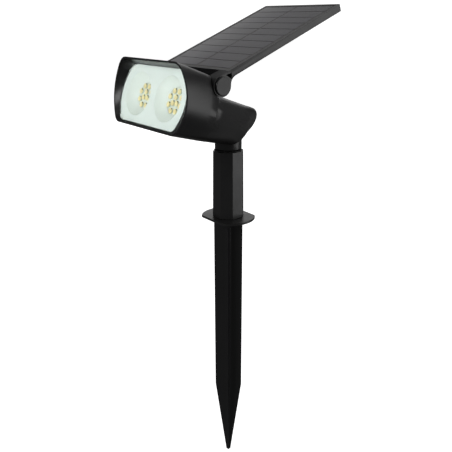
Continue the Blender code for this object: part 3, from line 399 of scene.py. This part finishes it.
def screw_tree():
    """Pan-head screws with a cross recess, one on every point, heads up +Z."""
    tree, source, result = new_group("Cross-head screws", "GeometryNodeTree", [
        ("Geometry", "NodeSocketGeometry", None),
        ("Head Radius", "NodeSocketFloat", 0.0015),
        ("Head Height", "NodeSocketFloat", 0.0008),
        ("Shank Radius", "NodeSocketFloat", 0.0008),
        ("Shank Length", "NodeSocketFloat", 0.0018),
        ("Slot Width", "NodeSocketFloat", 0.0004),
        ("Material", "NodeSocketMaterial", None),
    ], [("Geometry", "NodeSocketGeometry")])
    height = source.outputs["Head Height"]
    radius = source.outputs["Head Radius"]
    crown_radius = add(tree, "ShaderNodeMath", {0: radius, 1: 0.72}, operation="MULTIPLY")
    head = add(tree, "GeometryNodeMeshCone", {"Vertices": 24, "Radius Top": crown_radius.outputs[0],
                                              "Radius Bottom": radius, "Depth": height})
    shank = add(tree, "GeometryNodeMeshCylinder", {"Vertices": 12, "Radius": source.outputs["Shank Radius"],
                                                   "Depth": source.outputs["Shank Length"]})
    drop = add(tree, "ShaderNodeMath", {0: source.outputs["Shank Length"], 1: -0.48}, operation="MULTIPLY")
    low = add(tree, "ShaderNodeCombineXYZ", {"Z": drop.outputs[0]})
    sunk = add(tree, "GeometryNodeTransform", {"Geometry": shank.outputs["Mesh"],
                                               "Translation": low.outputs[0]})
    body = add(tree, "GeometryNodeMeshBoolean", operation="UNION")
    tree.links.new(head.outputs["Mesh"], body.inputs["Mesh 2"])
    tree.links.new(sunk.outputs[0], body.inputs["Mesh 2"])
    long = add(tree, "ShaderNodeMath", {0: radius, 1: 1.2}, operation="MULTIPLY")
    top = add(tree, "ShaderNodeCombineXYZ", {"Z": height})
    cutter = add(tree, "GeometryNodeMeshBoolean", operation="DIFFERENCE")
    tree.links.new(body.outputs["Mesh"], cutter.inputs["Mesh 1"])
    for x, y in ((long.outputs[0], source.outputs["Slot Width"]),
                 (source.outputs["Slot Width"], long.outputs[0])):
        size = add(tree, "ShaderNodeCombineXYZ", {"X": x, "Y": y, "Z": height})
        arm = add(tree, "GeometryNodeMeshCube", {"Size": size.outputs[0]})
        raised = add(tree, "GeometryNodeTransform", {"Geometry": arm.outputs["Mesh"]})
        half = add(tree, "ShaderNodeVectorMath", {0: top.outputs[0], "Scale": 0.6}, operation="SCALE")
        tree.links.new(half.outputs[0], raised.inputs["Translation"])
        tree.links.new(raised.outputs[0], cutter.inputs["Mesh 2"])
    spread = add(tree, "GeometryNodeInstanceOnPoints", {"Points": source.outputs["Geometry"],
                                                        "Instance": cutter.outputs["Mesh"]})
    real = add(tree, "GeometryNodeRealizeInstances", {"Geometry": spread.outputs[0]})
    painted = add(tree, "GeometryNodeSetMaterial", {"Geometry": real.outputs[0],
                                                    "Material": source.outputs["Material"]})
    tree.links.new(painted.outputs[0], result.inputs[0])
    return tree


# ---- settings -------------------------------------------------------------------------------------
class GardenLightSettings(bpy.types.PropertyGroup):
    """Sizes and colours that a maker of this light would change."""
    plastic_colour: FloatVectorProperty(
        name="Plastic colour", description="Colour of the moulded shells", subtype="COLOR",
        size=3, min=0.0, max=1.0, default=(0.014, 0.014, 0.0145))
    edge_break: FloatProperty(
        name="Edge break", description="Widest bevel on the shells' edges; small faces cut it down",
        unit="LENGTH",
        default=0.00022)
    led_outer: FloatProperty(
        name="LED outer ring", description="Radius of the outer ring of LEDs", unit="LENGTH",
        default=0.0070)
    led_inner: FloatProperty(
        name="LED inner ring", description="Radius of the inner ring of LEDs", unit="LENGTH",
        default=0.0026)
    led_size: FloatProperty(
        name="LED size", description="Side of one LED package", unit="LENGTH", default=0.0027)
    bowl_pitch: FloatProperty(
        name="Bowl pitch", description="Distance of a bowl's centre from the middle",
        unit="LENGTH", default=0.0184)
    cell_rows: IntProperty(
        name="Cell rows", description="Rows of solar cells up the panel", default=10, min=1)
    cell_columns: IntProperty(
        name="Cell columns", description="Columns of solar cells across the panel", default=2, min=1)
    cell_gap: FloatProperty(
        name="Cell gap", description="Gap between neighbouring rows of cells", unit="LENGTH",
        default=0.0006)
    column_gap: FloatProperty(
        name="Column gap", description="Gap between the columns of cells", unit="LENGTH",
        default=0.0016)
    cell_margin: FloatProperty(
        name="Cell margin", description="From the laminate's edge to the cells", unit="LENGTH",
        default=0.0010)
    lamp_power: FloatProperty(
        name="Softbox power", description="Brightness of the studio's softboxes", unit="POWER",
        default=1.0)


def settings():
    return bpy.context.scene.garden_light


# ---- the pieces ---------------------------------------------------------------------------------------
class GARDEN_OT_shells(bpy.types.Operator):
    """Make the black mouldings: head, pole, spike, panel frame, back cover and hinge caps"""
    bl_idname = "garden.shells"
    bl_label = "Moulded shells"

    def execute(self, context):
        edge = settings().edge_break
        for node, body, share in (
                ("head_housing", "head", 1.0), ("pole_tube", "stake", 1.0),
                ("ground_spike", "stake", 1.0), ("panel_frame", "panel", 1.0),
                ("panel_back_cover", "panel", 0.8), ("hinge_cap_right", "panel", 1.0),
                ("hinge_cap_left", "panel", 1.0)):
            rounded_copy(node, node + "_shell", edge * share, "plastic", body)
        return {"FINISHED"}


class GARDEN_OT_window(bpy.types.Operator):
    """Finish the lamp's window: lens with its bead, gasket, reflector and LED board"""
    bl_idname = "garden.window"
    bl_label = "Lamp window"

    def execute(self, context):
        dress("lens", "clear")
        dress("lens_gasket", "silicone")
        rounded_copy("reflector", "reflector_bowls", 0.0002, "reflector", "head")
        dress("led_board", "led")
        return {"FINISHED"}


class GARDEN_OT_led_fields(bpy.types.Operator):
    """Put the surface-mounted LEDs on both round fields of the board"""
    bl_idname = "garden.led_fields"
    bl_label = "LED fields"

    def execute(self, context):
        sizes = settings()
        space = head_frame()
        low, high = local_box("led_board", space)
        face = low.y
        middle = (low.z + high.z) / 2
        spots = []
        for radius, count, start in ((sizes.led_outer, OUTER_LEDS, OUTER_START),
                                     (sizes.led_inner, INNER_LEDS, INNER_START)):
            for i in range(count):
                turn = math.radians(start + 360.0 / count * i)
                spots.append((radius * math.cos(turn), radius * math.sin(turn)))
        points = [(side * sizes.bowl_pitch + across, middle + up, 0.0)
                  for side in (1, -1) for across, up in spots]
        tree = frustum_tree()
        square = sizes.led_size / math.sqrt(2)
        place = space @ Matrix.Translation((0.0, face, 0.0)) @ Matrix.Rotation(math.pi / 2, 4, "X")
        rim = LED_RIM
        layers = (
            ("led_frames", "chip", 4, math.pi / 4, 0.96, (square, square, rim), (0.0, 0.0, rim / 2)),
            ("led_phosphor", "phosphor", 16, 0.0, 0.92, (square * 0.98, square * 0.98, rim * 1.6),
             (0.0, 0.0, rim * 0.8)),
            ("led_marks", "mark", 4, math.pi / 4, 0.9, (square * 0.16, square * 0.30, rim * 2.2),
             (square * 0.72, square * 0.72, rim * 0.9)),
        )
        for name, finish_name, sides, turn, share, size, offset in layers:
            mesh = plain_mesh(name, tree, points_mesh(points), {
                "Sides": sides, "Turn": turn, "Top Share": share, "Size": size, "Offset": offset},
                finish_name)
            settle(mesh, name, place, finish_name, "head")
        return {"FINISHED"}


class GARDEN_OT_solar_face(bpy.types.Operator):
    """Lay the rows of solar cells into the panel's resin face"""
    bl_idname = "garden.solar_face"
    bl_label = "Solar face"

    def execute(self, context):
        sizes = settings()
        dress("solar_laminate", "resin")
        space = panel_frame()
        low, high = local_box("solar_laminate", space)
        inner_low = Vector((low.x + sizes.cell_margin, low.y + sizes.cell_margin))
        inner_high = Vector((high.x - sizes.cell_margin, high.y - sizes.cell_margin))
        pitch_x = (inner_high.x - inner_low.x + sizes.column_gap) / sizes.cell_columns
        pitch_y = (inner_high.y - inner_low.y + sizes.cell_gap) / sizes.cell_rows
        width = pitch_x - sizes.column_gap
        length = pitch_y - sizes.cell_gap
        points = [(inner_low.x + width / 2 + column * pitch_x, inner_low.y + length / 2 + row * pitch_y,
                   high.z) for column in range(sizes.cell_columns) for row in range(sizes.cell_rows)]
        mesh = plain_mesh("solar_cells", frustum_tree(), points_mesh(points), {
            "Sides": 4, "Turn": math.pi / 4, "Top Share": 0.992,
            "Size": (width / math.sqrt(2), length / math.sqrt(2), CELL_PROUD),
            "Offset": (0.0, 0.0, CELL_PROUD / 2)}, "solar")
        settle(mesh, "solar_cells", space, "solar", "panel")
        return {"FINISHED"}


class GARDEN_OT_cover_screws(bpy.types.Operator):
    """Drive the cross-head screws into the panel's back cover"""
    bl_idname = "garden.cover_screws"
    bl_label = "Cover screws"

    def execute(self, context):
        space = panel_frame()
        names = [name for name in sorted(NODES) if name.startswith("cover_screw_")]
        points = []
        for name in names:
            low, high = local_box(name, space)
            points.append(((low.x + high.x) / 2, -(low.y + high.y) / 2, 0.0))
        mesh = plain_mesh("cover_screws", screw_tree(), points_mesh(points), {
            "Head Radius": (high.x - low.x) / 2, "Head Height": SCREW_HEAD,
            "Shank Radius": SCREW_SHANK, "Shank Length": high.z - low.z - SCREW_HEAD,
            "Slot Width": SCREW_SLOT}, "steel")
        seat = Matrix.Translation((0.0, 0.0, low.z + SCREW_HEAD / 2)) @ Matrix.Rotation(math.pi, 4, "X")
        made = settle(mesh, "cover_screws", space @ seat, "steel", "panel")
        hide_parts(*names)
        return {"FINISHED"}


class GARDEN_OT_inner_works(bpy.types.Operator):
    """Finish the parts inside: cell, boards, leads, switch, seals and hinge hardware"""
    bl_idname = "garden.inner_works"
    bl_label = "Inner works"

    def execute(self, context):
        for finish_name, nodes in {
                "rubber": ("swivel_o_ring", "swivel_washer", "hinge_washer_right", "hinge_washer_left"),
                "wrap": ("battery_cell",), "cradle": ("battery_cradle",),
                "board": ("control_board", "switch_board", "solder_board"),
                "switch": ("tact_switch",), "red": ("battery_lead_red",),
                "dark": ("battery_lead_black", "led_lead"),
                "steel": ("board_screw_upper", "board_screw_lower", "hinge_screw_right",
                          "hinge_screw_left"),
                "brass": ("hinge_insert_right", "hinge_insert_left")}.items():
            for node in nodes:
                dress(node, finish_name)
        return {"FINISHED"}


class GARDEN_OT_power_button(bpy.types.Operator):
    """Finish the rubber power button in the heel"""
    bl_idname = "garden.power_button"
    bl_label = "Power button"

    def execute(self, context):
        rounded_copy("power_button", "power_button_cap", 0.0003, "rubber", "button")
        return {"FINISHED"}


# ---- the stage --------------------------------------------------------------------------------------------
class StageSettings(bpy.types.PropertyGroup):
    """Camera place, aim and lens."""
    camera_place: FloatVectorProperty(
        name="Camera place", description="Where the camera stands", subtype="XYZ", unit="LENGTH",
        size=3, default=(0.32632, -0.26058, 0.1476))
    camera_turn: FloatProperty(
        name="Camera turn", description="Heading of the camera", subtype="ANGLE",
        default=math.radians(51.641))
    camera_pitch: FloatProperty(
        name="Camera pitch", description="How far the camera looks down", subtype="ANGLE",
        default=math.radians(20.374))
    camera_roll: FloatProperty(
        name="Camera roll", description="Tilt of the picture", subtype="ANGLE",
        default=math.radians(-0.12))
    camera_lens: FloatProperty(
        name="Focal length", description="Lens on a 36 mm sensor", subtype="DISTANCE_CAMERA",
        default=44.6)


def softbox(name, place, aim, size, power):
    light = bpy.data.lights.new(name, "AREA")
    light.shape = "RECTANGLE"
    light.size, light.size_y = size
    light.energy = power
    made = bpy.data.objects.new(name, light)
    made.location = place
    made.rotation_euler = (Vector(aim) - Vector(place)).to_track_quat("-Z", "Y").to_euler()
    bpy.context.scene.collection.objects.link(made)


class GARDEN_OT_stage(bpy.types.Operator):
    """Set up the pale floor, the soft studio light and the camera"""
    bl_idname = "garden.stage"
    bl_label = "Studio stage"

    def execute(self, context):
        stage = context.scene.garden_stage
        power = settings().lamp_power
        low, high = CAD_BOX
        floor_mesh = bpy.data.meshes.new("floor")
        work = bmesh.new()
        bmesh.ops.create_circle(work, cap_ends=True, radius=12.0, segments=96,
                                matrix=Matrix.Translation((0.0, 0.0, low[2] - 0.0005)))
        work.to_mesh(floor_mesh)
        work.free()
        paint = bpy.data.materials.new("pale floor")
        paint.use_nodes = True
        shader = paint.node_tree.nodes["Principled BSDF"]
        shader.inputs["Base Color"].default_value = (0.9, 0.9, 0.9, 1.0)
        shader.inputs["Roughness"].default_value = 0.9
        shader.inputs["Emission Color"].default_value = (1.0, 1.0, 1.0, 1.0)
        shader.inputs["Emission Strength"].default_value = 0.97
        floor_mesh.materials.append(paint)
        floor = bpy.data.objects.new("floor", floor_mesh)
        floor.visible_glossy = False
        floor.visible_diffuse = False
        context.scene.collection.objects.link(floor)

        world = bpy.data.worlds.new("studio")
        world.use_nodes = True
        context.scene.world = world
        tree = world.node_tree
        tree.nodes.clear()
        path = add(tree, "ShaderNodeLightPath")
        level = add(tree, "ShaderNodeMapRange", {"Value": path.outputs["Is Camera Ray"], "To Min": 0.10,
                                                 "To Max": 1.2})
        ground = add(tree, "ShaderNodeBackground", {"Color": (1.0, 1.0, 1.0, 1.0),
                                                    "Strength": level.outputs["Result"]})
        out = add(tree, "ShaderNodeOutputWorld", {"Surface": ground.outputs[0]})
        out.is_active_output = True

        aim = (0.0, 0.0, 0.03)
        softbox("overhead", (-0.35, 0.55, 1.5), aim, (1.8, 1.8), 3.6 * power)
        softbox("side", (1.0, 1.05, 0.15), aim, (1.0, 1.4), 8.0 * power)
        softbox("back", (-1.3, 1.1, 0.35), aim, (1.2, 1.2), 3.6 * power)
        softbox("front", (0.25, -1.5, 0.75), aim, (0.7, 0.7), 9.6 * power)

        camera = bpy.data.cameras.new("camera")
        camera.sensor_width = 36.0
        camera.lens = stage.camera_lens
        camera.clip_start = 0.01
        made = bpy.data.objects.new("camera", camera)
        made.location = stage.camera_place
        turn = (Matrix.Rotation(stage.camera_turn, 3, "Z")
                @ Matrix.Rotation(math.pi / 2 - stage.camera_pitch, 3, "X")
                @ Matrix.Rotation(stage.camera_roll, 3, "Z"))
        made.rotation_euler = turn.to_euler()
        context.scene.collection.objects.link(made)
        context.scene.camera = made
        context.scene.view_settings.view_transform = "Standard"
        return {"FINISHED"}


class GARDEN_PT_panel(bpy.types.Panel):
    """Lists the steps in the 3D view's sidebar"""
    bl_label = "Garden Light"
    bl_idname = "GARDEN_PT_panel"
    bl_space_type = "VIEW_3D"
    bl_region_type = "UI"
    bl_category = "Garden Light"

    def draw(self, context):
        for name in GardenLightSettings.__annotations__:
            self.layout.prop(context.scene.garden_light, name)
        for name in StageSettings.__annotations__:
            self.layout.prop(context.scene.garden_stage, name)
        for step in STEPS:
            self.layout.operator(step.bl_idname)


STEPS = (GARDEN_OT_shells, GARDEN_OT_window, GARDEN_OT_led_fields, GARDEN_OT_solar_face,
         GARDEN_OT_cover_screws, GARDEN_OT_inner_works, GARDEN_OT_power_button, GARDEN_OT_stage)
CLASSES = (GardenLightSettings, StageSettings, *STEPS, GARDEN_PT_panel)


def register():
    for item in CLASSES:
        bpy.utils.register_class(item)
    bpy.types.Scene.garden_light = PointerProperty(type=GardenLightSettings)
    bpy.types.Scene.garden_stage = PointerProperty(type=StageSettings)


def unregister():
    del bpy.types.Scene.garden_light
    del bpy.types.Scene.garden_stage
    for item in reversed(CLASSES):
        bpy.utils.unregister_class(item)


def main():
    register()
    make_finishes(settings())
    for step in STEPS:
        section, name = step.bl_idname.split(".")
        getattr(getattr(bpy.ops, section), name)()


if __name__ == "__main__":
    main()
